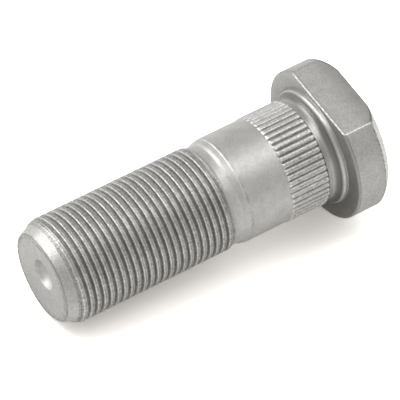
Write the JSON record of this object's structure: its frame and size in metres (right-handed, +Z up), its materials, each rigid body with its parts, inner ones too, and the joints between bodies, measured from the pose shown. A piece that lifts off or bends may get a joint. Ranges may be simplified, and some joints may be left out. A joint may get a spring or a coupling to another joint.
{
  "type": "wheel stud",
  "caption": "Pressed-in wheel stud with a fine-threaded end, a plain shank, a knurled band under the collar and a round head with one locating flat.",
  "frame": {"origin": "on the floor under the middle of the part, as the stud lies on its head's edge and on its threaded end", "axes": "+Z up, the stud's axis runs along +X towards the head and rises by 4.8 degrees, the head's flat faces up"},
  "size_m": [0.0728, 0.032, 0.0296],
  "materials": {
    "plated_steel": "fine matt zinc-flake plating with a light grain"
  },
  "bodies": {
    "root": {"wheel_stud": "plated_steel"}
  },
  "joints": []
}
